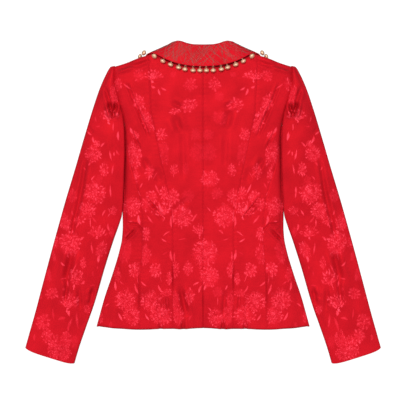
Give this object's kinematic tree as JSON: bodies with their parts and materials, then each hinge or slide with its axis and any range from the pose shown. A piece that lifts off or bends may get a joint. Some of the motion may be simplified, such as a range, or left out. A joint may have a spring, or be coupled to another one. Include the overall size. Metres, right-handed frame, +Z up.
{
  "type": "fitted brocade jacket",
  "caption": "Short fitted brocade jacket with long set-in sleeves, panel seams, a flared hem and a round turned-down collar edged with hanging gold balls, laid flat on its front.",
  "frame": {"origin": "on the surface the jacket lies on, under the middle of its outline", "axes": "+Z up from the surface through the back of the jacket, +Y from the hem to the collar, +X to the wearer's right-hand side as seen in the picture, across the sleeves"},
  "size_m": [0.7298, 0.6625, 0.0383],
  "materials": {
    "brocade": "red satin brocade with a tone-on-tone floral figure",
    "collar_brocade": "the same brocade, stitched over with gold thread",
    "gold": "polished gold-coloured metal"
  },
  "bodies": {
    "root": {"back_center_left": "brocade", "back_side_left": "brocade", "side_left": "brocade", "front_left": "brocade", "sleeve_left": "brocade", "back_center_right": "brocade", "back_side_right": "brocade", "side_right": "brocade", "front_right": "brocade", "sleeve_right": "brocade", "collar": "collar_brocade", "ball_left_01": "gold", "ball_left_02": "gold", "ball_left_03": "gold", "ball_left_04": "gold", "ball_left_05": "gold", "ball_left_06": "gold", "ball_left_07": "gold", "ball_left_08": "gold", "ball_left_09": "gold", "ball_left_10": "gold", "ball_left_11": "gold", "ball_left_12": "gold", "ball_left_13": "gold", "ball_left_14": "gold", "ball_left_15": "gold", "ball_left_16": "gold", "ball_left_17": "gold", "ball_left_18": "gold", "ball_right_01": "gold", "ball_right_02": "gold", "ball_right_03": "gold", "ball_right_04": "gold", "ball_right_05": "gold", "ball_right_06": "gold", "ball_right_07": "gold", "ball_right_08": "gold", "ball_right_09": "gold", "ball_right_10": "gold", "ball_right_11": "gold", "ball_right_12": "gold", "ball_right_13": "gold", "ball_right_14": "gold", "ball_right_15": "gold", "ball_right_16": "gold", "ball_right_17": "gold", "ball_right_18": "gold"}
  },
  "joints": []
}
